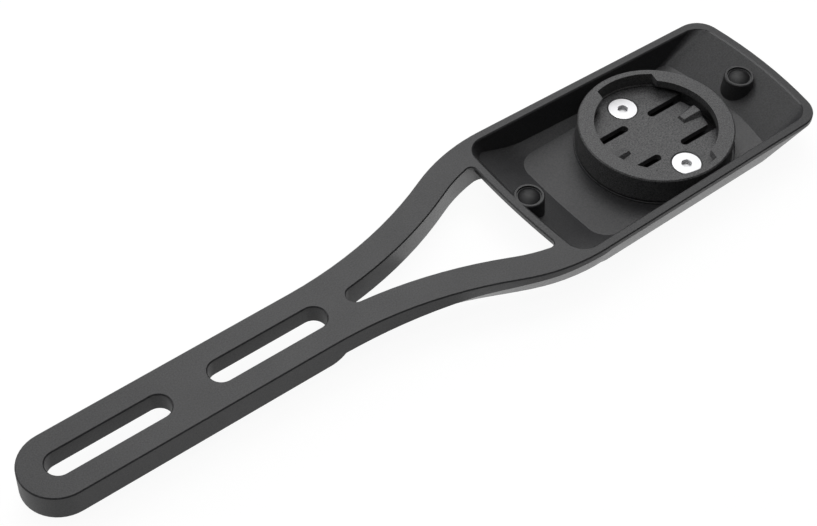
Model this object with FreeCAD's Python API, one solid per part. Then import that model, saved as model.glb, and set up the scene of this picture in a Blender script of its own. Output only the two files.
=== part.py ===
import FreeCAD, Part
import math
import os

# Out-front mount for a bicycle computer, in millimetres.
# A slotted arm is bolted to the bicycle. It splits into a fork that carries an open tray.
# A quarter-turn socket is screwed to the tray's floor and holds the computer.
# Origin: centre of the two slots, on the arm's top face. X runs to the tray, Y to its left, Z up.

# Arm
arm_width = 17.0
arm_thickness = 6.35
slot_width = 6.0
slot_length = 29.0
slot_spacing = 38.6
tip_margin = 5.8

# Fork. Its lower outer edge is cut away by a leaning face that fades in at the root.
fork_root_x = 30.4
fork_arm_width = 6.75
fork_root_widening = 0.35
first_bend_share = 0.683
window_tip_x = 41.9
window_corner_radius = 1.3
step_start_x = 29.2
step_end_x = 33.1
step_bulge = 0.4
root_edge_depth = 4.85
root_lean_inset = 2.6
lean_start_x = 25.0
lean_end_x = 97.0
lean_tuck = 0.3
under_gap_shift = 5.6
under_gap_radius = 4.0

# Shares of the way from the tray's values back to the root's, at equal steps along the lean
edge_depth_shares = (1.0, 1.0, 0.935, 0.80, 0.61, 0.41, 0.255, 0.17, 0.09, 0.0)
lean_inset_shares = (1.0, 1.0, 1.0, 1.0, 0.95, 0.75, 0.57, 0.30, 0.05, 0.0)

# Tray outline
tray_crest_x = 91.8
tray_half_width = 22.05
tray_taper_deg = 1.35
tray_far_x = 161.35
far_bow_radius = 103.0
near_bow_radius = 213.0
tray_corner_radius = 6.0
flange_thickness = 1.25
plate_cover = 0.35

# Tray shell
rim_width = 2.15
near_wall_width = 2.0
cavity_near_x = 86.65
side_lean = 0.327
inner_lean = 0.2
near_lean = 0.68
far_lean = 1.96
floor_depth = 7.85
floor_near_x = 98.4
floor_side_near_y = 15.15
floor_side_far_y = 16.4
floor_corner_radius = 5.0
pan_slope = 2.36
far_ramp_start_x = 132.4
far_ramp_slope = 0.1515
rim_corner_radius = 4.5
deep_corner_radius = 0.9
shell_thickness = 2.0
hull_near_lean = 0.9
hull_foot_depth = 7.3
hull_corner_radius = 4.8
hull_base_margin = 0.72
top_edge_bevel = 0.25

# Bosses and the bumpers in them
near_boss_x = 89.5
far_boss_x = 153.2
boss_radius = 3.5
boss_bore_radius = 2.85
boss_bore_depth = 2.6
boss_draft = 0.062
boss_edge_bevel = 0.2
bumper_clearance = 0.03
bumper_dome_radius = 2.42
bumper_shoulder_depth = 1.4
bumper_dome_base = 0.45
bumper_crown = 0.3

# Socket
socket_x = 127.22
socket_radius = 18.0
socket_top_depth = 0.34
socket_pad_radius = 17.85
socket_pad_height = 0.55
socket_pad_bevel = 0.25
socket_clearance = 0.4
socket_far_clearance = 0.45
socket_foot_clearance = 0.15
socket_edge_bevel = 0.3
socket_foot_bevel = 0.4
lug_radius = 14.15
notch_radius = 16.35
notch_angle_deg = 52.0
notch_turn_deg = 77.4
notch_flare_deg = 5.5
lug_thickness = 1.9
socket_floor_depth = 4.1
ledge_radius = 15.9
ledge_height = 0.4
socket_plate = 1.6
under_pocket_radius = 14.6
screw_post_radius = 4.4
slit_y = 5.65
slit_width = 1.95
slit_inner_x = 3.3
slit_ring_radius = 13.2
slit_ring_width = 2.6
catch_inner_x = 7.85
catch_outer_x = 13.1
catch_inner_width = 1.35
catch_outer_width = 2.1
catch_inner_height = 0.65
catch_outer_height = 1.25
catch_side_slope = 0.75
catch_end_slope = 0.4
tick_radius = 15.55
tick_angle_deg = 230.0
tick_length = 2.1
tick_width = 0.18
tick_depth = 0.15
tick_turn_deg = 262.0

# Socket screws, M3 countersunk
screw_y = 10.85
screw_head_radius = 3.36
screw_shank_radius = 1.5
screw_length = 5.0
screw_head_gap = 0.3
screw_shank_gap = 0.15
screw_tip_gap = 0.15
screw_sink = 0.1
screw_key_across = 2.0
screw_key_depth = 1.2

up = FreeCAD.Vector(0, 0, 1)
across = FreeCAD.Vector(0, 1, 0)
origin = FreeCAD.Vector(0, 0, 0)
eps = 1.0e-6

half_arm = arm_width / 2.0
tip_x = -(slot_spacing / 2.0 + slot_length / 2.0 + tip_margin)
taper = math.radians(tray_taper_deg)
overcut = 1.0


def point(x, y, z=0.0):
    return FreeCAD.Vector(x, y, z)


def line(a, b):
    return Part.LineSegment(a, b).toShape()


def arc(a, middle, b):
    return Part.Arc(a, middle, b).toShape()


def arc_about(centre, a, b):
    """Short arc from a to b about a centre in the same level plane."""
    radius = (a - centre).Length
    half = (a - centre) + (b - centre)
    half.normalize()
    return arc(a, centre + half * radius, b)


def mirrored(p):
    return point(p.x, -p.y, p.z)


def prism(wire, z_low, z_high):
    face = Part.Face(wire)
    face.translate(point(0, 0, z_low))
    return face.extrude(point(0, 0, z_high - z_low))


def disc(radius, z_low, z_high, x=0.0, y=0.0):
    return Part.makeCylinder(radius, z_high - z_low, point(x, y, z_low), up)


def cone(low_radius, high_radius, z_low, z_high, x=0.0, y=0.0):
    return Part.makeCone(low_radius, high_radius, z_high - z_low, point(x, y, z_low), up)


def block(x0, x1, y0, y1, z0, z1):
    return Part.makeBox(x1 - x0, y1 - y0, z1 - z0, point(x0, y0, z0))


# The fork's outer edge: one arc bends away from the arm, a second one bends back to the tray.
rise = tray_half_width - half_arm
reach = tray_crest_x - fork_root_x
both_radii = (reach ** 2 + rise ** 2) / (2.0 * rise)
spread_radius = both_radii * first_bend_share
return_radius = both_radii - spread_radius
spread_centre = point(fork_root_x, half_arm + spread_radius)
return_centre = point(tray_crest_x, tray_half_width - return_radius)
bend_point = spread_centre + (return_centre - spread_centre) * first_bend_share
taper_start = return_centre + point(math.sin(taper), math.cos(taper)) * return_radius
bend_turn_sine = reach / both_radii
root_shift = fork_root_widening / bend_turn_sine


def taper_line(x):
    """Half width on the tray's straight side, run on past its ends."""
    return taper_start.y - (x - taper_start.x) * math.tan(taper)


def edge_half_width(x):
    """Half width of the arm, fork and tray at x."""
    if x < fork_root_x:
        return half_arm
    if x < bend_point.x:
        return spread_centre.y - math.sqrt(spread_radius ** 2 - (x - fork_root_x) ** 2)
    if x < taper_start.x:
        return return_centre.y + math.sqrt(return_radius ** 2 - (x - tray_crest_x) ** 2)
    return taper_line(x)


def corner_centre(start, direction, inward, bow_centre, bow_radius, radius):
    """Centre of a round corner between a straight side and a bowed end."""
    base = start + inward * radius - bow_centre
    b = base.dot(direction)
    c = base.dot(base) - (bow_radius - radius) ** 2
    return bow_centre + base + direction * (-b + math.sqrt(b * b - c))


def side_corner(start, direction, bow_centre, bow_radius, radius):
    """Points where a round corner leaves the side and joins the bow, with its centre."""
    inward = point(direction.y, -direction.x)
    if inward.y > 0:
        inward = inward * -1.0
    centre = corner_centre(start, direction, inward, bow_centre, bow_radius, radius)
    out = centre - bow_centre
    out.normalize()
    return centre - inward * radius, bow_centre + out * bow_radius, centre


def body_outline():
    bow_centre = point(tray_far_x - far_bow_radius, 0)
    direction = point(math.cos(taper), -math.sin(taper))
    side_end, bow_end, corner = side_corner(
        taper_start, direction, bow_centre, far_bow_radius, tray_corner_radius)
    root = point(fork_root_x, half_arm)
    tip_side = point(tip_x + half_arm, half_arm)
    edges = [arc(tip_side, point(tip_x, 0), mirrored(tip_side))]
    for flip in (mirrored, lambda p: p):
        edges += [
            line(flip(tip_side), flip(root)),
            arc_about(flip(spread_centre), flip(root), flip(bend_point)),
            arc_about(flip(return_centre), flip(bend_point), flip(taper_start)),
            line(flip(taper_start), flip(side_end)),
            arc_about(flip(corner), flip(side_end), flip(bow_end)),
        ]
    edges.append(arc(bow_end, point(tray_far_x, 0), mirrored(bow_end)))
    return Part.Wire(Part.__sortEdges__(edges))


def tray_section(x_near, x_far, y_near, y_far, r_near, r_far, z):
    """Level outline of the tray at one depth: bowed ends, straight sides and round corners."""
    near_centre = point(x_near + near_bow_radius, 0)
    far_centre = point(x_far - far_bow_radius, 0)
    direction = point(x_far - x_near, y_far - y_near)
    direction.normalize()
    middle = point((x_near + x_far) / 2.0, (y_near + y_far) / 2.0)
    far_side, far_bow, far_mid = side_corner(middle, direction, far_centre, far_bow_radius, r_far)
    near_side, near_bow, near_mid = side_corner(
        middle, direction * -1.0, near_centre, near_bow_radius, r_near)
    edges = [
        arc(mirrored(near_bow), point(x_near, 0), near_bow),
        arc_about(near_mid, near_bow, near_side),
        line(near_side, far_side),
        arc_about(far_mid, far_side, far_bow),
        arc(far_bow, point(x_far, 0), mirrored(far_bow)),
        arc_about(mirrored(far_mid), mirrored(far_bow), mirrored(far_side)),
        line(mirrored(far_side), mirrored(near_side)),
        arc_about(mirrored(near_mid), mirrored(near_side), mirrored(near_bow)),
    ]
    wire = Part.Wire(edges)
    wire.translate(point(0, 0, z))
    return wire


def wall_section(z, depth, near_x, near_rate, inset, rate, r_near, r_far):
    """Level outline of faces that stand at an inset from the edge and lean in with depth."""
    x_near = near_x + near_rate * depth
    x_far = tray_far_x - inset - far_lean * depth
    inwards = inset + rate * depth
    return tray_section(x_near, x_far, taper_line(x_near) - inwards, taper_line(x_far) - inwards,
                        r_near, r_far, z)


def above_ramp(low, start_x, slope):
    """Everything above a level plane that turns up into a ramp at start_x."""
    end_x = tray_far_x + overcut
    high = 3.0 * overcut
    profile = Part.makePolygon([
        point(tip_x, 0, high), point(tip_x, 0, low), point(start_x, 0, low),
        point(end_x, 0, low + (end_x - start_x) * slope), point(end_x, 0, high),
        point(tip_x, 0, high)])
    face = Part.Face(profile)
    face.translate(point(0, -tray_half_width - overcut, 0))
    return face.extrude(across * (2.0 * (tray_half_width + overcut)))


def cavity():
    """The tray's hollow: leaning walls, a sloping margin and a flat floor with a far ramp."""
    walls = Part.makeLoft([
        wall_section(-depth, depth, cavity_near_x, near_lean, rim_width, inner_lean, radius, radius)
        for depth, radius in ((-overcut, rim_corner_radius),
                              (floor_depth + overcut, deep_corner_radius))], True, True)
    beyond = tray_far_x + 2.0 * tray_corner_radius

    def pan_level(rise):
        out = pan_slope * rise
        return tray_section(floor_near_x - out, beyond, floor_side_near_y + out,
                            floor_side_far_y + out, floor_corner_radius + out,
                            floor_corner_radius + out, rise - floor_depth)
    pan = Part.makeLoft([pan_level(-overcut), pan_level(floor_depth + overcut)], True, True)
    above = above_ramp(-floor_depth, far_ramp_start_x, far_ramp_slope)
    return walls.common(pan).common(above)


def hull():
    """Outer form under the tray: the cavity's faces moved out by the shell's thickness."""
    bottom = floor_depth + shell_thickness

    def level(depth, r_near, r_far):
        return wall_section(-depth, depth - flange_thickness, cavity_near_x - near_wall_width,
                            hull_near_lean, 0.0, side_lean, r_near, r_far)
    base = tray_section(floor_near_x - hull_base_margin,
                        tray_far_x - far_lean * (bottom - flange_thickness),
                        floor_side_near_y + hull_base_margin, floor_side_far_y + hull_base_margin,
                        floor_corner_radius + shell_thickness, hull_corner_radius, -bottom)
    levels = [
        level(0.0, rim_corner_radius, tray_corner_radius),
        level(hull_foot_depth, hull_corner_radius, hull_corner_radius),
        base,
    ]
    return Part.makeLoft(levels, True, True)


def fork_bar():
    """Arm and fork at full depth: leaning faces cut the fork's lower outer edges away."""
    bar = prism(body_outline(), -arm_thickness, 0.0)
    bar = bar.common(block(tip_x - overcut, lean_end_x, -tray_half_width * 2.0,
                           tray_half_width * 2.0, -floor_depth, overcut))
    cutter = lean_cutter()
    under_gap = prism(window(under_gap_shift, under_gap_radius), -floor_depth, overcut)
    return bar.cut([cutter, cutter.mirror(origin, across), under_gap])


def lean_cutter():
    """What the leaning face takes away on the left, with a rounded near end at the root."""
    steps = len(edge_depth_shares) - 1
    tray_inset = side_lean * (arm_thickness - flange_thickness)
    sections = []
    for i in range(steps + 1):
        x = lean_start_x + (lean_end_x - lean_start_x) * i / steps
        depth = flange_thickness + (root_edge_depth - flange_thickness) * edge_depth_shares[i]
        inset = tray_inset + (root_lean_inset - tray_inset) * lean_inset_shares[i]
        rate = inset / (arm_thickness - depth)
        edge = edge_half_width(x) - (lean_tuck if i == steps else 0.0)
        outside = edge + overcut
        low = -arm_thickness - overcut
        corner = point(x, outside, -depth + overcut / rate)
        sections.append(Part.makePolygon([
            corner, point(x, edge - inset - overcut * rate, low), point(x, outside, low), corner]))
    cutter = Part.makeLoft(sections, True, False)
    high = point(step_end_x, 0, -root_edge_depth)
    deep = point(step_start_x, 0, -arm_thickness)
    chord = deep - high
    chord.normalize()
    bulge = point(-chord.z, 0, chord.x) * step_bulge
    middle = (high + deep) * 0.5 + bulge
    start = point(lean_start_x - overcut, 0, -floor_depth)
    under = point(step_start_x - overcut, 0, -floor_depth)
    keep = Part.Face(Part.Wire([
        arc(high, middle, deep), line(deep, under), line(under, start),
        line(start, point(start.x, 0, floor_depth)),
        line(point(start.x, 0, floor_depth), point(high.x, 0, floor_depth)),
        line(point(high.x, 0, floor_depth), high)]))
    return cutter.cut(keep.extrude(across * (2.0 * tray_half_width)))


def window(far_shift=0.0, radius=window_corner_radius):
    """Opening between the fork's arms, with a round tip and round corners at the tray."""
    inner_spread = spread_radius + fork_arm_width + fork_root_widening
    inner_return = return_radius - fork_arm_width
    near_x = cavity_near_x - near_wall_width + far_shift
    spread_inner_centre = spread_centre - point(root_shift, 0)
    turn = return_centre - spread_centre
    turn.normalize()
    spread_end = spread_inner_centre + turn * inner_spread
    return_start = spread_centre + turn * (spread_radius + fork_arm_width)
    # round tip: a circle on the centre line that touches both inner arcs
    tip_centre = point(window_tip_x, 0)
    to_tip = tip_centre - spread_inner_centre
    tip_radius = to_tip.Length - inner_spread
    to_tip.normalize()
    tip_side = spread_inner_centre + to_tip * inner_spread
    # round corner: touches the inner return arc from inside and the bowed near wall
    bow_centre = point(near_x + near_bow_radius, 0)
    far_reach = near_bow_radius + radius
    near_reach = inner_return - radius
    between = bow_centre - return_centre
    distance = between.Length
    share = (near_reach ** 2 - far_reach ** 2 + distance ** 2) / (2.0 * distance)
    height = math.sqrt(near_reach ** 2 - share ** 2)
    between.normalize()
    sideways = point(-between.y, between.x)
    corner = return_centre + between * share + sideways * height
    if corner.y < 0:
        corner = return_centre + between * share - sideways * height
    out = corner - return_centre
    out.normalize()
    arc_end = return_centre + out * inner_return
    out = bow_centre - corner
    out.normalize()
    bow_end = corner + out * radius
    edges = [arc(mirrored(tip_side), point(window_tip_x - tip_radius, 0), tip_side)]
    for flip in (lambda p: p, mirrored):
        edges += [
            arc_about(flip(spread_inner_centre), flip(tip_side), flip(spread_end)),
            line(flip(spread_end), flip(return_start)),
            arc_about(flip(return_centre), flip(return_start), flip(arc_end)),
            arc_about(flip(corner), flip(arc_end), flip(bow_end)),
        ]
    edges.append(arc(bow_end, point(near_x, 0), mirrored(bow_end)))
    return Part.Wire(Part.__sortEdges__(edges))


def slots():
    shapes = []
    for side in (-1, 1):
        centre = side * slot_spacing / 2.0
        straight = slot_length - slot_width
        shape = block(centre - straight / 2.0, centre + straight / 2.0, -slot_width / 2.0,
                      slot_width / 2.0, -arm_thickness - overcut, overcut)
        for end in (-1, 1):
            shape = shape.fuse(disc(slot_width / 2.0, -arm_thickness - overcut, overcut,
                                    centre + end * straight / 2.0))
        shapes.append(shape.removeSplitter())
    return shapes


def boss(x, outer_form):
    foot = floor_depth + shell_thickness / 2.0
    shape = cone(boss_radius + boss_draft * foot, boss_radius, -foot, 0.0, x)
    shape = shape.makeChamfer(boss_edge_bevel, level_edges(shape, 0.0))
    return shape.common(outer_form)


def level_edges(shape, z):
    return [e for e in shape.Edges
            if abs(e.BoundBox.ZMin - z) < 1.0e-4 and abs(e.BoundBox.ZMax - z) < 1.0e-4]


def mount_body():
    outline = prism(body_outline(), -floor_depth * 2.0, 0.0)
    plate = prism(body_outline(), plate_cover - flange_thickness, 0.0)
    shell = hull().common(outline)
    outer = shell.fuse([plate, fork_bar()])
    hollow = cavity()
    opening = prism(window(), -floor_depth * 2.0, overcut)
    body = outer.cut([hollow, opening] + slots()).removeSplitter()
    body = body.makeChamfer(top_edge_bevel, level_edges(body, 0.0))
    bosses = [boss(x, outer) for x in (near_boss_x, far_boss_x)]
    body = body.fuse(bosses)
    pad_top = -floor_depth + socket_pad_height
    relief = disc(socket_radius + socket_clearance, pad_top - socket_foot_clearance, 0.0,
                  socket_x + socket_far_clearance)
    body = body.cut(relief)
    pad = disc(socket_pad_radius, -floor_depth - shell_thickness / 2.0, pad_top, socket_x)
    pad = pad.makeChamfer(socket_pad_bevel, level_edges(pad, pad_top))
    body = body.fuse(pad)
    bores = [disc(boss_bore_radius, -boss_bore_depth, overcut, x) for x in (near_boss_x, far_boss_x)]
    tip_z = -socket_floor_depth - screw_sink - screw_length - screw_tip_gap
    for side in (-1, 1):
        bores.append(disc(screw_shank_radius, tip_z, pad_top + overcut, socket_x, side * screw_y))
    body = body.cut(bores)
    return body.removeSplitter()


def socket():
    top = -socket_top_depth
    bottom = -floor_depth + socket_pad_height
    floor = -socket_floor_depth
    ring = disc(socket_radius, bottom, top)
    ring = ring.makeChamfer(socket_edge_bevel, level_edges(ring, top))
    ring = ring.makeChamfer(socket_foot_bevel, level_edges(ring, bottom))
    lug_low = top - lug_thickness
    shape = ring.cut([
        disc(lug_radius, floor, 0.0),
        disc(ledge_radius, floor, floor + ledge_height),
        disc(notch_radius, floor + ledge_height, lug_low),
    ])
    for half_turn in (0.0, 180.0):
        half = notch_angle_deg / 2.0
        spread = notch_flare_deg
        outer = notch_radius
        rim = [(outer, -half), (outer, half), (lug_radius - overcut, half + spread * 1.3),
               (lug_radius - overcut, -half - spread * 1.3)]
        corners = [point(r * math.cos(math.radians(a)), r * math.sin(math.radians(a)))
                   for r, a in rim]
        edges = [arc(corners[0], point(outer, 0), corners[1]), line(corners[1], corners[2]),
                 line(corners[2], corners[3]), line(corners[3], corners[0])]
        cutter = prism(Part.Wire(edges), lug_low - 0.1, 0.0)
        cutter.rotate(origin, up, notch_turn_deg + half_turn)
        shape = shape.cut(cutter)
    plate_low = floor - socket_plate
    under = disc(under_pocket_radius, bottom - overcut, plate_low)
    for side in (-1, 1):
        post = disc(screw_post_radius, bottom - overcut, plate_low, 0.0, side * screw_y)
        under = under.cut(post)
    shape = shape.cut(under)
    through_low = bottom - overcut
    ring_cut = disc(slit_ring_radius + slit_ring_width, through_low, floor + eps).cut(
        disc(slit_ring_radius, through_low, floor + eps))
    reach_y = slit_y + slit_width / 2.0
    cuts = []
    for side in (-1, 1):
        near = side * slit_inner_x
        far = side * (slit_ring_radius + slit_ring_width / 2.0)
        strip = block(min(near, far * 2), max(near, far * 2), -reach_y, reach_y, through_low, floor + eps)
        cuts.append(ring_cut.common(strip))
        for row in (-1, 1):
            x0, x1 = sorted((near + side * slit_width / 2.0, side * slit_ring_radius))
            slit = block(x0, x1, row * slit_y - slit_width / 2.0, row * slit_y + slit_width / 2.0,
                         through_low, floor + overcut / 10.0)
            end = disc(slit_width / 2.0, through_low, floor + overcut / 10.0,
                       near + side * slit_width / 2.0, row * slit_y)
            cuts += [slit, end]
    shape = shape.cut(cuts)
    catch = catch_ridge()
    other = catch.copy()
    other.rotate(origin, up, 180.0)
    shape = shape.fuse([catch, other])
    head = screw_head_radius + screw_head_gap
    shank = screw_shank_radius + screw_shank_gap
    for side in (-1, 1):
        y = side * screw_y
        sink = cone(shank, head, floor - (head - shank), floor, 0.0, y)
        shape = shape.cut([sink, disc(shank, bottom - overcut, floor, 0.0, y),
                           disc(head, floor - eps, floor + ledge_height, 0.0, y)])
    tick = block(-tick_length / 2.0, tick_length / 2.0, -tick_width / 2.0, tick_width / 2.0,
                 top - tick_depth, overcut)
    tick.rotate(origin, up, tick_turn_deg)
    angle = math.radians(tick_angle_deg)
    tick.translate(point(tick_radius * math.cos(angle), tick_radius * math.sin(angle)))
    shape = shape.cut(tick)
    shape.translate(point(socket_x, 0, 0))
    return shape.removeSplitter()


def catch_ridge():
    """Catch on a spring tongue: a ridge that grows wider and taller towards the rim."""
    floor = -socket_floor_depth
    buried = socket_plate / 2.0

    def section(x, width, height):
        half = width / 2.0
        foot = half + catch_side_slope * (height + buried)
        return Part.makePolygon([
            point(x, foot, floor - buried), point(x, half, floor + height),
            point(x, -half, floor + height), point(x, -foot, floor - buried),
            point(x, foot, floor - buried)])
    ridge = Part.makeLoft([section(catch_inner_x, catch_inner_width, catch_inner_height),
                           section(catch_outer_x, catch_outer_width, catch_outer_height)], True, True)
    lean = catch_end_slope * (catch_outer_height + buried)
    reach = catch_outer_width + catch_outer_height + buried
    end = Part.makePolygon([
        point(catch_inner_x - overcut, 0, floor - buried),
        point(catch_inner_x, 0, floor - buried),
        point(catch_inner_x + lean, 0, floor + catch_outer_height),
        point(catch_inner_x - overcut, 0, floor + catch_outer_height),
        point(catch_inner_x - overcut, 0, floor - buried)])
    face = Part.Face(end)
    face.translate(point(0, -reach, 0))
    return ridge.cut(face.extrude(across * (2.0 * reach)))


def screw(side):
    top = -socket_floor_depth - screw_sink
    tip = top - screw_length
    cone_depth = screw_head_radius - screw_shank_radius
    shape = cone(screw_shank_radius, screw_head_radius, top - cone_depth, top)
    shape = shape.fuse(disc(screw_shank_radius, tip, top - cone_depth))
    corner = screw_key_across / math.sqrt(3.0)
    hexagon = [point(corner * math.cos(math.radians(60.0 * i)),
                     corner * math.sin(math.radians(60.0 * i))) for i in range(6)]
    key = prism(Part.makePolygon(hexagon + [hexagon[0]]), top - screw_key_depth, top + overcut)
    shape = shape.cut(key).removeSplitter()
    shape.translate(point(socket_x, side * screw_y, 0))
    return shape


def bumper(x):
    """Rubber bumper: a plug in the boss with a smaller domed head."""
    plug_radius = boss_bore_radius - bumper_clearance
    base = -bumper_dome_base
    rise = bumper_crown + bumper_dome_base
    sphere_radius = (bumper_dome_radius ** 2 + rise ** 2) / (2.0 * rise)
    mid_angle = math.asin(bumper_dome_radius / sphere_radius) / 2.0
    centre_z = bumper_crown - sphere_radius
    mid = point(sphere_radius * math.sin(mid_angle), 0, centre_z + sphere_radius * math.cos(mid_angle))
    edges = [
        line(point(0, 0, -boss_bore_depth), point(plug_radius, 0, -boss_bore_depth)),
        line(point(plug_radius, 0, -boss_bore_depth), point(plug_radius, 0, -bumper_shoulder_depth)),
        line(point(plug_radius, 0, -bumper_shoulder_depth),
             point(bumper_dome_radius, 0, -bumper_shoulder_depth)),
        line(point(bumper_dome_radius, 0, -bumper_shoulder_depth), point(bumper_dome_radius, 0, base)),
        arc(point(bumper_dome_radius, 0, base), mid, point(0, 0, bumper_crown)),
        line(point(0, 0, bumper_crown), point(0, 0, -boss_bore_depth)),
    ]
    shape = Part.Face(Part.Wire(edges)).revolve(origin, up, 360.0)
    shape.translate(point(x, 0, 0))
    return shape


pieces = {
    "mount_body": mount_body(),
    "socket": socket(),
    "socket_screw_left": screw(1),
    "socket_screw_right": screw(-1),
    "bumper_near": bumper(near_boss_x),
    "bumper_far": bumper(far_boss_x),
}

os.makedirs("parts", exist_ok=True)
for name, shape in pieces.items():
    shape.exportStep("parts/" + name + ".step")
    box = shape.BoundBox
    print(name, "solids", len(shape.Solids), "valid", shape.isValid(), "volume", round(shape.Volume, 1),
          "box", [round(v, 2) for v in (box.XMin, box.YMin, box.ZMin, box.XMax, box.YMax, box.ZMax)])
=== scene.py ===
import math

import bmesh
import bpy
from mathutils import Euler, Matrix, Vector


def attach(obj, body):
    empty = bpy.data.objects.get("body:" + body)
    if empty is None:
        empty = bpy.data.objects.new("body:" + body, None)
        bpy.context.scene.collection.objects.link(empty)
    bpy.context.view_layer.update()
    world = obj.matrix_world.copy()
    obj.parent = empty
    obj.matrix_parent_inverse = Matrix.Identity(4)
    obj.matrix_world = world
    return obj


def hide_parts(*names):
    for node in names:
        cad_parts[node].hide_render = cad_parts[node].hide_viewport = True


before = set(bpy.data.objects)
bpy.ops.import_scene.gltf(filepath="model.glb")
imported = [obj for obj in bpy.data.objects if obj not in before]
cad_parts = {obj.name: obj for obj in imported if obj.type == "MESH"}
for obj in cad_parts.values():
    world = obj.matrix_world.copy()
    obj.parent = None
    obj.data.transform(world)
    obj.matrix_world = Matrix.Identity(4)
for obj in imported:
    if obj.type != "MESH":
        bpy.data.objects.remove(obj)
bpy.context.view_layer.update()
millimetre = 0.001
print("frame loaded")


# Camera, set as the photograph was taken: from the near right, looking down at the arm

camera = {
    "place": (-120.884, -217.155, 323.271),
    "turn": -37.241,
    "tilt": 49.149,
    "roll": 0.534,
    "lens": 88.216,
    "sensor": 36.0,
    "shift": (0.0535, 0.0018),
}


def addCamera():
    data = bpy.data.cameras.new("camera")
    data.lens = camera["lens"]
    data.sensor_width = camera["sensor"]
    data.sensor_fit = "HORIZONTAL"
    data.shift_x, data.shift_y = camera["shift"]
    data.clip_start = 0.01
    data.clip_end = 20.0
    shot = bpy.data.objects.new("camera", data)
    bpy.context.scene.collection.objects.link(shot)
    shot.location = [value * millimetre for value in camera["place"]]
    aimed = Euler((math.radians(90.0 - camera["tilt"]), 0.0, math.radians(camera["turn"]))).to_matrix()
    rolled = Matrix.Rotation(math.radians(camera["roll"]), 3, "Z")
    shot.rotation_euler = (aimed @ rolled).to_euler()
    bpy.context.scene.camera = shot


# Shader sockets as values, so that patterns read as sums

class Value:
    def __init__(self, shader, socket):
        self.shader = shader
        self.socket = socket

    def maths(self, operation, first, second):
        return self.shader.node("ShaderNodeMath", {"operation": operation}, {0: first, 1: second})

    def __add__(self, other):
        return self.maths("ADD", self, other)

    def __radd__(self, other):
        return self.maths("ADD", other, self)

    def __sub__(self, other):
        return self.maths("SUBTRACT", self, other)

    def __rsub__(self, other):
        return self.maths("SUBTRACT", other, self)

    def __mul__(self, other):
        return self.maths("MULTIPLY", self, other)

    def __rmul__(self, other):
        return self.maths("MULTIPLY", other, self)

    def __truediv__(self, other):
        return self.maths("DIVIDE", self, other)

    def output(self, name):
        return Value(self.shader, self.socket.node.outputs[name])


def shaded(colour, share):
    return tuple(value * share for value in colour) + (1.0,)


class Shader:
    def __init__(self, name):
        self.material = bpy.data.materials.new(name)
        self.material.use_nodes = True
        self.tree = self.material.node_tree
        self.tree.nodes.clear()
        self.output = self.tree.nodes.new("ShaderNodeOutputMaterial")
        coordinates = self.tree.nodes.new("ShaderNodeTexCoord")
        self.place = Value(self, coordinates.outputs["Object"])

    def node(self, kind, settings=None, inputs=None, out=0):
        made = self.tree.nodes.new(kind)
        for name, value in (settings or {}).items():
            setattr(made, name, value)
        for name, value in (inputs or {}).items():
            self.feed(made.inputs[name], value)
        return Value(self, made.outputs[out])

    def noise(self, scale, detail=2.0, rough=0.5):
        return self.node(
            "ShaderNodeTexNoise",
            {},
            {"Vector": self.place, "Scale": scale, "Detail": detail, "Roughness": rough},
        )

    def between(self, share, dark, light):
        return self.node("ShaderNodeMix", {"data_type": "RGBA"}, {0: share, 6: dark, 7: light}, out=2)

    def bump(self, height, strength, depth, normal=None):
        inputs = {"Height": height, "Strength": strength, "Distance": depth}
        if normal:
            inputs["Normal"] = normal
        return self.node("ShaderNodeBump", {}, inputs)

    def feed(self, socket, value):
        if isinstance(value, Value):
            self.tree.links.new(value.socket, socket)
        else:
            socket.default_value = value

    def surface(self, value):
        self.tree.links.new(value.socket, self.output.inputs["Surface"])


# Moulded plastic: spark-eroded grain, fine speckle, soft sheen and edges a touch rounded

bodyPlastic = {
    "name": "charcoal moulded plastic",
    "colour": (0.047, 0.047, 0.049),
    "cloud": 0.06,
    "cloudSize": 1.0 / 90.0,
    "speckle": 0.30,
    "speckleSize": 0.00035,
    "grainSize": 0.00022,
    "grainDepth": 0.000035,
    "roughness": 0.42,
    "roughnessSpread": 0.10,
    "edgeRound": 0.00005,
}

socketPlastic = {
    "name": "dark grey speckled plastic",
    "colour": (0.096, 0.096, 0.098),
    "cloud": 0.06,
    "cloudSize": 1.0 / 90.0,
    "speckle": 0.65,
    "speckleSize": 0.00030,
    "grainSize": 0.00018,
    "grainDepth": 0.00004,
    "roughness": 0.42,
    "roughnessSpread": 0.14,
    "edgeRound": 0.00010,
}


def mouldedPlastic(recipe):
    shader = Shader(recipe["name"])
    grain = shader.noise(1.0 / recipe["grainSize"], rough=0.6)
    speckle = shader.noise(1.0 / recipe["speckleSize"], detail=1.0)
    cloud = shader.noise(1.0 / recipe["cloudSize"], detail=3.0, rough=0.55)
    spread = recipe["speckle"] + recipe["cloud"]
    tone = (speckle - 0.5) * 4.0 * recipe["speckle"] + (cloud - 0.5) * 2.0 * recipe["cloud"]
    colour = shader.between(
        tone / (2.0 * spread) + 0.5,
        shaded(recipe["colour"], 1.0 - spread),
        shaded(recipe["colour"], 1.0 + spread),
    )
    rounded = shader.node("ShaderNodeBevel", {"samples": 6}, {"Radius": recipe["edgeRound"]})
    bump = shader.bump(grain, 0.6, recipe["grainDepth"], rounded)
    plastic = shader.node(
        "ShaderNodeBsdfPrincipled",
        {},
        {
            "Base Color": colour,
            "Roughness": (cloud - 0.5) * recipe["roughnessSpread"] + recipe["roughness"],
            "Normal": bump,
            "IOR": 1.49,
        },
    )
    shader.surface(plastic)
    return shader.material


screwSteel = {
    "name": "bright turned steel",
    "colour": (0.83, 0.83, 0.84),
    "roughness": 0.45,
    "grainSize": 0.00012,
}


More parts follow.
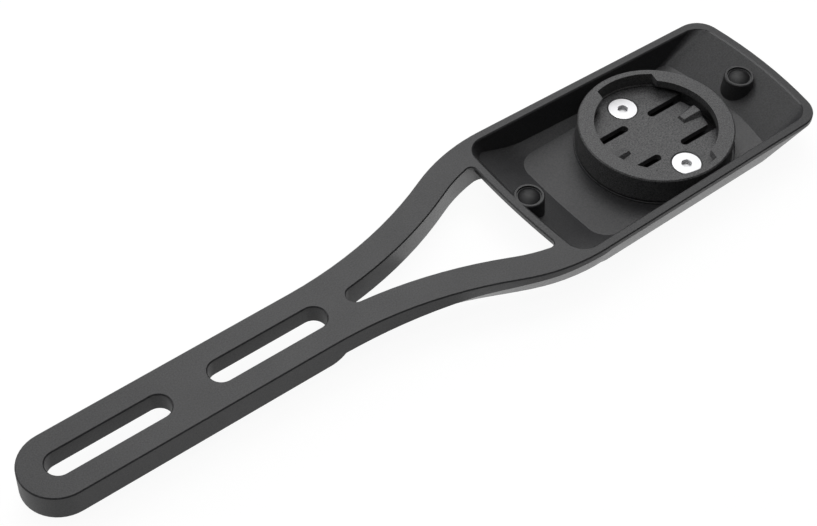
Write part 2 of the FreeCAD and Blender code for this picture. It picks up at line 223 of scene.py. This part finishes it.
def turnedSteel(recipe):
    shader = Shader(recipe["name"])
    grain = shader.noise(1.0 / recipe["grainSize"])
    bump = shader.bump(grain, 0.05, 0.00001)
    steel = shader.node(
        "ShaderNodeBsdfPrincipled",
        {},
        {
            "Base Color": shaded(recipe["colour"], 1.0),
            "Metallic": 1.0,
            "Roughness": (grain - 0.5) * 0.1 + recipe["roughness"],
            "Normal": bump,
        },
    )
    shader.surface(steel)
    return shader.material


bumperRubber = {
    "name": "black rubber",
    "colour": (0.012, 0.012, 0.013),
    "roughness": 0.5,
    "grainSize": 0.00018,
}


def rubber(recipe):
    shader = Shader(recipe["name"])
    grain = shader.noise(1.0 / recipe["grainSize"])
    colour = shader.between(grain, shaded(recipe["colour"], 0.8), shaded(recipe["colour"], 1.3))
    bump = shader.bump(grain, 0.3, 0.00002)
    skin = shader.node(
        "ShaderNodeBsdfPrincipled",
        {},
        {"Base Color": colour, "Roughness": (grain - 0.5) * 0.12 + recipe["roughness"], "Normal": bump},
    )
    shader.surface(skin)
    return shader.material


# Floor and light: a white sheet under soft light from behind and above, with a bright card below the tray

stage = {
    "floorX": 60.0,
    "floorDepth": 9.9,
    "floorSize": 3.0,
    "white": (0.86, 0.86, 0.86, 1.0),
    "shown": 1.10,
    "shadowShare": 0.15,
    "mirrored": 0.72,
    "card": 1.38,
    "cardStart": 0.062,
    "cardHalfWidth": 0.024,
    "worldLevel": 0.01,
    "shownWorld": 0.35,
}

# Where each softbox hangs, in degrees round from the far end and up from the floor, and its watts
softboxes = {"size": 0.5, "distance": 0.95, "aim": (0.06, 0.0, 0.0)}
lamps = [
    {"name": "main softbox", "round": 45.0, "up": 61.0, "power": 2.05},
    {"name": "left behind", "round": 70.0, "up": 46.0, "power": 0.85},
    {"name": "over the arm", "round": 205.0, "up": 74.0, "power": 1.35},
    {"name": "near left low", "round": 135.0, "up": 25.0, "power": 1.25},
    {"name": "far left low", "round": 45.0, "up": 25.0, "power": 0.95},
    {"name": "left above", "round": 90.0, "up": 60.0, "power": 0.65},
    {"name": "far end above", "round": 0.0, "up": 60.0, "power": 0.45},
]


def whiteSheet():
    shader = Shader("white sheet")
    seen = shader.node("ShaderNodeLightPath", out="Is Camera Ray")
    glossy = seen.output("Is Glossy Ray")
    along = shader.node("ShaderNodeSeparateXYZ", {}, {"Vector": shader.place}, out="X")
    sideways = along.output("Y")
    away = shader.node("ShaderNodeMath", {"operation": "ABSOLUTE"}, {0: sideways})
    beyond = shader.node("ShaderNodeMath", {"operation": "GREATER_THAN"}, {0: along, 1: stage["cardStart"]})
    within = shader.node("ShaderNodeMath", {"operation": "LESS_THAN"}, {0: away, 1: stage["cardHalfWidth"]})
    mirrored = beyond * within * (stage["card"] - stage["mirrored"]) + stage["mirrored"]
    matte = shader.node("ShaderNodeBsdfDiffuse", {}, {"Color": stage["white"]})
    plain = shader.node("ShaderNodeEmission", {}, {"Color": (1.0, 1.0, 1.0, 1.0), "Strength": stage["shown"]})
    mirror = shader.node("ShaderNodeEmission", {}, {"Color": (1.0, 1.0, 1.0, 1.0), "Strength": mirrored})
    behind = shader.node("ShaderNodeMixShader", {}, {0: glossy, 1: matte, 2: mirror})
    shadowed = shader.node("ShaderNodeMixShader", {}, {0: stage["shadowShare"], 1: plain, 2: matte})
    mixed = shader.node("ShaderNodeMixShader", {}, {0: seen, 1: behind, 2: shadowed})
    shader.surface(mixed)
    return shader.material


def addFloor():
    bpy.ops.object.select_all(action="DESELECT")
    bpy.ops.mesh.primitive_plane_add(
        size=stage["floorSize"],
        location=(stage["floorX"] * millimetre, 0.0, -stage["floorDepth"] * millimetre),
    )
    bpy.ops.object.transform_apply(location=True, rotation=False, scale=False)
    floor = bpy.context.object
    floor.name = "floor"
    floor.data.materials.append(whiteSheet())


def addLights():
    world = bpy.data.worlds.new("studio")
    bpy.context.scene.world = world
    world.use_nodes = True
    nodes = world.node_tree.nodes
    links = world.node_tree.links
    nodes.clear()
    output = nodes.new("ShaderNodeOutputWorld")
    mix = nodes.new("ShaderNodeMixShader")
    soft = nodes.new("ShaderNodeBackground")
    white = nodes.new("ShaderNodeBackground")
    path = nodes.new("ShaderNodeLightPath")
    soft.inputs["Color"].default_value = (1.0, 1.0, 1.0, 1.0)
    soft.inputs["Strength"].default_value = stage["worldLevel"]
    white.inputs["Color"].default_value = (1.0, 1.0, 1.0, 1.0)
    white.inputs["Strength"].default_value = stage["shownWorld"]
    links.new(path.outputs["Is Camera Ray"], mix.inputs[0])
    links.new(soft.outputs[0], mix.inputs[1])
    links.new(white.outputs[0], mix.inputs[2])
    links.new(mix.outputs[0], output.inputs["Surface"])
    aim = Vector(softboxes["aim"])
    for lamp in lamps:
        data = bpy.data.lights.new(lamp["name"], "AREA")
        data.size = softboxes["size"]
        data.energy = lamp["power"]
        light = bpy.data.objects.new(lamp["name"], data)
        bpy.context.scene.collection.objects.link(light)
        around, up = math.radians(lamp["round"]), math.radians(lamp["up"])
        toLamp = Vector((math.cos(up) * math.cos(around), math.cos(up) * math.sin(around), math.sin(up)))
        light.location = aim + toLamp * softboxes["distance"]
        light.rotation_euler = toLamp.to_track_quat("Z", "Y").to_euler()


addCamera()
addFloor()
addLights()
print("camera, floor and lights placed")


finishes = {
    "body_plastic": mouldedPlastic(bodyPlastic),
    "socket_plastic": mouldedPlastic(socketPlastic),
    "screw_steel": turnedSteel(screwSteel),
    "bumper_rubber": rubber(bumperRubber),
}


def deselect():
    bpy.ops.object.select_all(action="DESELECT")


def pick(piece):
    deselect()
    piece.select_set(True)
    bpy.context.view_layer.objects.active = piece


def applyModifiers(piece):
    pick(piece)
    for modifier in list(piece.modifiers):
        bpy.ops.object.modifier_apply(modifier=modifier.name)


def bevelEdges(piece, width):
    edges = piece.modifiers.new("edges", "BEVEL")
    edges.width = width * millimetre
    edges.segments = 2
    edges.limit_method = "ANGLE"
    applyModifiers(piece)


def smoothed(piece, angle):
    pick(piece)
    bpy.ops.object.shade_smooth_by_angle(angle=math.radians(angle))
    even = piece.modifiers.new("even normals", "WEIGHTED_NORMAL")
    even.mode = "FACE_AREA"
    even.keep_sharp = True
    applyModifiers(piece)


def painted(piece, slot):
    piece.data.materials.clear()
    piece.data.materials.append(finishes[slot])


mergeDistance = 0.000002
socketX = 127.22


def mergedCopy(node, name):
    source = bpy.data.objects[node]
    piece = source.copy()
    piece.data = source.data.copy()
    piece.name = name
    bpy.context.scene.collection.objects.link(piece)
    pick(piece)
    bpy.ops.object.mode_set(mode="EDIT")
    bpy.ops.mesh.select_all(action="SELECT")
    bpy.ops.mesh.remove_doubles(threshold=mergeDistance)
    bpy.ops.object.mode_set(mode="OBJECT")
    if piece.data.has_custom_normals:  # those of the loose triangles
        bpy.ops.mesh.customdata_custom_splitnormals_clear()
    return piece


def cutAway(piece, tool):
    cut = piece.modifiers.new("cut", "BOOLEAN")
    cut.operation = "DIFFERENCE"
    cut.solver = "EXACT"
    cut.object = tool
    applyModifiers(piece)
    bpy.data.objects.remove(tool, do_unlink=True)


# Tray moulding: the carried-over body with its rim bevel made even, a collar in each boss, the raised
# pad under the socket and a wider recess below each slot

trayMoulding = {
    "crestX": 92.89,
    "crestHalfWidth": 19.887,
    "taper": 1.35,
    "nearX": 86.65,
    "nearBow": 213.0,
    "farX": 159.2,
    "farBow": 103.0,
    "corner": 4.13,
    "bevel": 0.25,
    "bevelReach": (0.8, 0.9, 0.45),
    "bosses": (89.5, 153.2),
    "bossClear": 4.1,
    "smooth": 11.5,
}


def rimDistance(x, y):
    tray = trayMoulding
    near = math.hypot(x - tray["nearX"] - tray["nearBow"], y) - tray["nearBow"]
    far = math.hypot(x - tray["farX"] + tray["farBow"], y) - tray["farBow"]
    taper = math.radians(tray["taper"])
    side = (abs(y) - tray["crestHalfWidth"]) * math.cos(taper) + (x - tray["crestX"]) * math.sin(taper)
    end = max(near, far)
    corner = tray["corner"]
    if end > -corner and side > -corner:
        return math.hypot(end + corner, side + corner) - corner
    return max(end, side)


def rimOutward(x, y):
    step = 0.01
    across = rimDistance(x + step, y) - rimDistance(x - step, y)
    along = rimDistance(x, y + step) - rimDistance(x, y - step)
    return Vector((across, along)).normalized()


def evenRimBevel(piece):
    bevel = trayMoulding["bevel"]
    outside, inside, below = trayMoulding["bevelReach"]  # how far from the rim a bevel point lies
    onRim = 0.02
    moved = 0
    for vertex in piece.data.vertices:
        x, y, z = vertex.co / millimetre
        nearBoss = min(math.hypot(x - place, y) for place in trayMoulding["bosses"])
        if z < -below or nearBoss < trayMoulding["bossClear"]:
            continue
        out = rimDistance(x, y)
        if z > -0.001 and onRim < out < outside:
            shift = bevel - out
        elif z < -0.04 and -inside < out < onRim:
            lean = -out / -z
            depth = bevel / math.sqrt(1.0 + lean * lean)
            shift = -lean * depth - out
            z = -depth
        else:
            continue
        outward = rimOutward(x, y)
        vertex.co = Vector((x + outward.x * shift, y + outward.y * shift, z)) * millimetre
        moved += 1
    print("rim bevel evened at", moved, "points")


bossCollar = {
    "radius": 2.86,
    "bore": 2.52,
    "top": -0.42,
    "bottom": -1.3,
    "floor": 0.1,
    "sides": 72,
}


def addDisc(size, x):
    deselect()
    bpy.ops.mesh.primitive_cylinder_add(
        vertices=size["sides"],
        radius=size["radius"] * millimetre,
        depth=(size["top"] - size["bottom"]) * millimetre,
        location=(x * millimetre, 0.0, (size["top"] + size["bottom"]) / 2.0 * millimetre),
    )
    bpy.ops.object.transform_apply(location=True, rotation=True, scale=True)
    return bpy.context.object


def addBossCollar(x):
    collar = bossCollar
    ring = addDisc(collar, x)
    bpy.ops.object.mode_set(mode="EDIT")
    bpy.ops.mesh.select_all(action="DESELECT")
    mesh = bmesh.from_edit_mesh(ring.data)
    for face in mesh.faces:
        face.select_set(face.normal.z > 0.9)  # the top
    bmesh.update_edit_mesh(ring.data)
    bpy.ops.mesh.inset(thickness=(collar["radius"] - collar["bore"]) * millimetre)
    drop = (collar["top"] - collar["bottom"] - collar["floor"]) * millimetre
    bpy.ops.mesh.extrude_region_move(TRANSFORM_OT_translate={"value": (0.0, 0.0, -drop)})
    bpy.ops.object.mode_set(mode="OBJECT")
    return ring


socketPad = {
    "radius": 18.2,
    "top": -7.33,
    "bottom": -7.95,
    "edge": 0.12,
    "sides": 180,
}


def addSocketPad():
    disc = addDisc(socketPad, socketX)
    bevelEdges(disc, socketPad["edge"])
    return disc


slotRecess = {
    "slots": (-19.3, 19.3),
    "straight": 23.0,
    "radius": 5.2,
    "top": -4.55,
    "bottom": -8.0,
    "sides": 64,
}


def cutSlotRecess(piece, x):
    tool = addDisc(slotRecess, x)
    for vertex in tool.data.vertices:
        towards = 1.0 if vertex.co.x > x * millimetre else -1.0
        vertex.co.x += towards * slotRecess["straight"] / 2.0 * millimetre
    cutAway(piece, tool)


moulding = mergedCopy("mount_body", "tray_moulding")
evenRimBevel(moulding)
for x in slotRecess["slots"]:
    cutSlotRecess(moulding, x)
extras = [addBossCollar(x) for x in trayMoulding["bosses"]] + [addSocketPad()]
pick(moulding)
for extra in extras:
    extra.select_set(True)
bpy.ops.object.join()
painted(moulding, "body_plastic")
smoothed(moulding, trayMoulding["smooth"])
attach(moulding, "root")
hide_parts("mount_body")
print("tray moulding made")


# Socket screws: countersunk heads with a chamfered hexagon recess and softened edges

socketScrew = {
    "y": 10.85,
    "top": -4.2,
    "headRadius": 3.31,
    "shankRadius": 1.5,
    "length": 5.0,
    "keyAcross": 2.2,
    "keyDepth": 1.0,
    "keyChamfer": 0.08,
    "edge": 0.05,
    "sides": 96,
    "shankSides": 48,
    "turn": 12.0,
    "smooth": 32.0,
}


def addCone(sides, lowRadius, highRadius, low, high, turn=0.0):
    deselect()
    bpy.ops.mesh.primitive_cone_add(
        vertices=sides,
        radius1=lowRadius * millimetre,
        radius2=highRadius * millimetre,
        depth=(high - low) * millimetre,
        location=(0.0, 0.0, (low + high) / 2.0 * millimetre),
        rotation=(0.0, 0.0, math.radians(turn)),
    )
    bpy.ops.object.transform_apply(location=True, rotation=True, scale=True)
    return bpy.context.object


def modelScrew():
    screw = socketScrew
    top = screw["top"]
    neck = top - (screw["headRadius"] - screw["shankRadius"])
    head = addCone(screw["sides"], screw["shankRadius"], screw["headRadius"], neck, top)
    keyRadius = screw["keyAcross"] / math.sqrt(3.0)
    cutAway(head, addCone(6, keyRadius, keyRadius, top - screw["keyDepth"], top + 1.0, screw["turn"]))
    chamfer = screw["keyChamfer"]
    low = screw["keyAcross"] / 2.0
    sides = screw["shankSides"]
    cutAway(head, addCone(sides, low, low + 3.0 * chamfer, top - chamfer, top + 2.0 * chamfer))
    bevelEdges(head, screw["edge"])
    shank = addCone(sides, screw["shankRadius"], screw["shankRadius"], top - screw["length"], neck)
    pick(head)
    shank.select_set(True)
    bpy.ops.object.join()
    return head


screwPattern = modelScrew()
for side, name in ((1.0, "left"), (-1.0, "right")):
    screw = screwPattern.copy()
    screw.data = screwPattern.data.copy()
    screw.name = name + "_socket_screw"
    bpy.context.scene.collection.objects.link(screw)
    screw.location = (socketX * millimetre, side * socketScrew["y"] * millimetre, 0.0)
    pick(screw)
    bpy.ops.object.transform_apply(location=True, rotation=True, scale=True)
    painted(screw, "screw_steel")
    smoothed(screw, socketScrew["smooth"])
    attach(screw, "root")
    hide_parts("socket_screw_" + name)
bpy.data.objects.remove(screwPattern, do_unlink=True)
print("socket screws made")


# Socket and bumpers: carried over in form, merged and smoothed

carriedOver = {
    "socket": {"shown": "quarter_turn_socket", "slot": "socket_plastic", "angle": 28.0},
    "bumper_near": {"shown": "near_bumper", "slot": "bumper_rubber", "angle": 40.0},
    "bumper_far": {"shown": "far_bumper", "slot": "bumper_rubber", "angle": 40.0},
}
for node, look in carriedOver.items():
    piece = mergedCopy(node, look["shown"])
    painted(piece, look["slot"])
    smoothed(piece, look["angle"])
    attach(piece, "root")
    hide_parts(node)
print("finishes given")

bpy.context.scene.view_settings.view_transform = "Standard"
